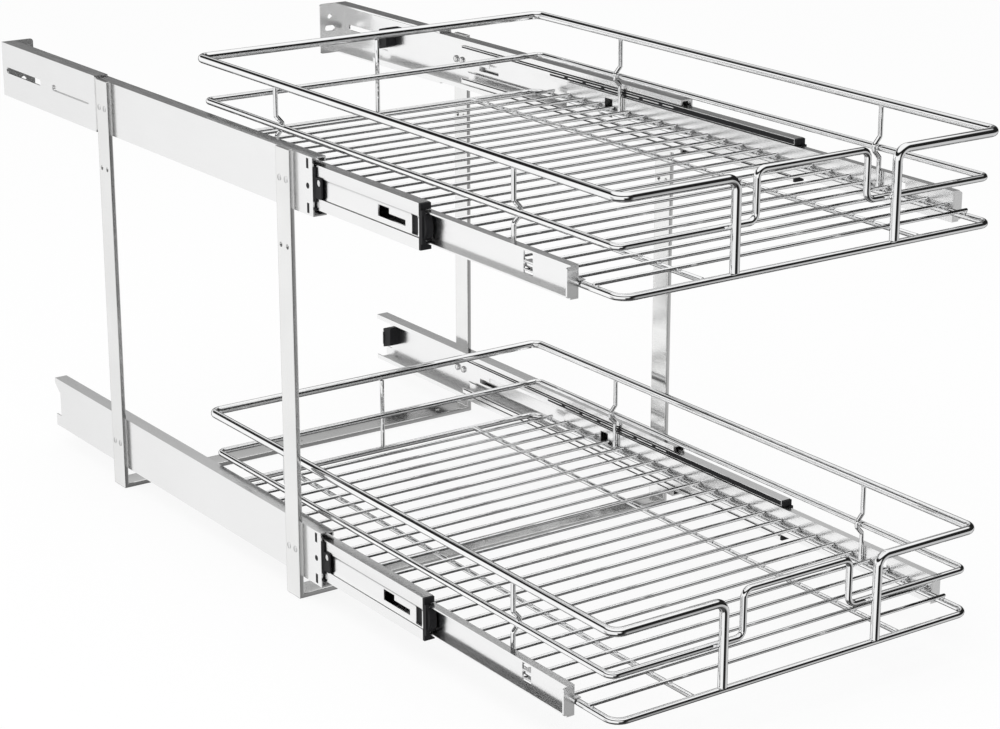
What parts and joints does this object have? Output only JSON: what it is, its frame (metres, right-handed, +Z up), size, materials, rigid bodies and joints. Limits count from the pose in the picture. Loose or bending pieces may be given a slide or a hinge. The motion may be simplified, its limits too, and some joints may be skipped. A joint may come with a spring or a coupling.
{
  "type": "pull out cabinet basket",
  "caption": "Pull-out chrome wire baskets stacked on a strap frame, each on full-extension ball-bearing runners, to be screwed inside a kitchen base cabinet.",
  "frame": {"origin": "middle of the four outer floor screws, on the underside of the frame's bottom bars", "axes": "+X to the right across the cabinet, +Y towards the back of the cabinet (the baskets pull out along -Y), +Z up"},
  "size_m": [0.3668, 0.8919, 0.4038],
  "materials": {
    "plated_bar": "bright zinc or nickel plate, smooth",
    "plated_rail": "bright zinc plate, smooth",
    "rivet_steel": "plated, worn on the head",
    "cage_steel": "plain rolled strip",
    "ball_steel": "polished",
    "chrome_wire": "bright chrome plate",
    "black_plastic": "moulded, slightly shiny"
  },
  "bodies": {
    "frame": {"front_strap": "plated_bar", "rear_strap": "plated_bar", "front_strap_rivets": "rivet_steel", "rear_strap_rivets": "rivet_steel", "left_rear_bracket": "plated_bar", "right_rear_bracket": "plated_bar", "upper_left_cabinet_rail": "plated_rail", "upper_right_cabinet_rail": "plated_rail", "lower_left_cabinet_rail": "plated_rail", "lower_right_cabinet_rail": "plated_rail", "rail_mouth_guides": "black_plastic", "rail_rear_bumpers": "black_plastic"},
    "upper_basket": {"upper_left_basket_rail": "plated_rail", "upper_right_basket_rail": "plated_rail", "upper_basket_rim": "chrome_wire", "upper_basket_middle_ring": "chrome_wire", "upper_basket_bottom_ring": "chrome_wire", "upper_basket_uprights": "chrome_wire", "upper_basket_supports": "chrome_wire", "upper_basket_floor": "chrome_wire"},
    "upper_middle_rails": {"upper_left_middle_rail": "plated_rail", "upper_right_middle_rail": "plated_rail", "upper_middle_rail_caps": "black_plastic"},
    "upper_outer_cages": {"upper_left_outer_cage": "cage_steel", "upper_right_outer_cage": "cage_steel", "upper_outer_balls": "ball_steel"},
    "upper_inner_cages": {"upper_left_inner_cage": "cage_steel", "upper_right_inner_cage": "cage_steel", "upper_inner_balls": "ball_steel"},
    "lower_basket": {"lower_left_basket_rail": "plated_rail", "lower_right_basket_rail": "plated_rail", "lower_basket_rim": "chrome_wire", "lower_basket_middle_ring": "chrome_wire", "lower_basket_bottom_ring": "chrome_wire", "lower_basket_uprights": "chrome_wire", "lower_basket_supports": "chrome_wire", "lower_basket_floor": "chrome_wire"},
    "lower_middle_rails": {"lower_left_middle_rail": "plated_rail", "lower_right_middle_rail": "plated_rail", "lower_middle_rail_caps": "black_plastic"},
    "lower_outer_cages": {"lower_left_outer_cage": "cage_steel", "lower_right_outer_cage": "cage_steel", "lower_outer_balls": "ball_steel"},
    "lower_inner_cages": {"lower_left_inner_cage": "cage_steel", "lower_right_inner_cage": "cage_steel", "lower_inner_balls": "ball_steel"}
  },
  "joints": [
    {"name": "upper_basket_slide", "type": "slide", "parent": "frame", "child": "upper_basket", "axis": [0, 1, 0], "range_m": [-0.14, 0.275]},
    {"name": "upper_middle_rails_slide", "type": "slide", "parent": "frame", "child": "upper_middle_rails", "axis": [0, 1, 0], "range_m": [-0.0637, 0.12512]},
    {"name": "upper_outer_cages_slide", "type": "slide", "parent": "frame", "child": "upper_outer_cages", "axis": [0, 1, 0], "range_m": [-0.03185, 0.06256]},
    {"name": "upper_inner_cages_slide", "type": "slide", "parent": "frame", "child": "upper_inner_cages", "axis": [0, 1, 0], "range_m": [-0.10185, 0.20006]},
    {"name": "lower_basket_slide", "type": "slide", "parent": "frame", "child": "lower_basket", "axis": [0, 1, 0], "range_m": [-0.14, 0.275]},
    {"name": "lower_middle_rails_slide", "type": "slide", "parent": "frame", "child": "lower_middle_rails", "axis": [0, 1, 0], "range_m": [-0.0637, 0.12512]},
    {"name": "lower_outer_cages_slide", "type": "slide", "parent": "frame", "child": "lower_outer_cages", "axis": [0, 1, 0], "range_m": [-0.03185, 0.06256]},
    {"name": "lower_inner_cages_slide", "type": "slide", "parent": "frame", "child": "lower_inner_cages", "axis": [0, 1, 0], "range_m": [-0.10185, 0.20006]}
  ],
  "couplings": [
    {"joint": "upper_middle_rails_slide", "follows": "upper_basket_slide", "ratio": 0.455},
    {"joint": "upper_outer_cages_slide", "follows": "upper_basket_slide", "ratio": 0.2275},
    {"joint": "upper_inner_cages_slide", "follows": "upper_basket_slide", "ratio": 0.7275},
    {"joint": "lower_middle_rails_slide", "follows": "lower_basket_slide", "ratio": 0.455},
    {"joint": "lower_outer_cages_slide", "follows": "lower_basket_slide", "ratio": 0.2275},
    {"joint": "lower_inner_cages_slide", "follows": "lower_basket_slide", "ratio": 0.7275}
  ]
}
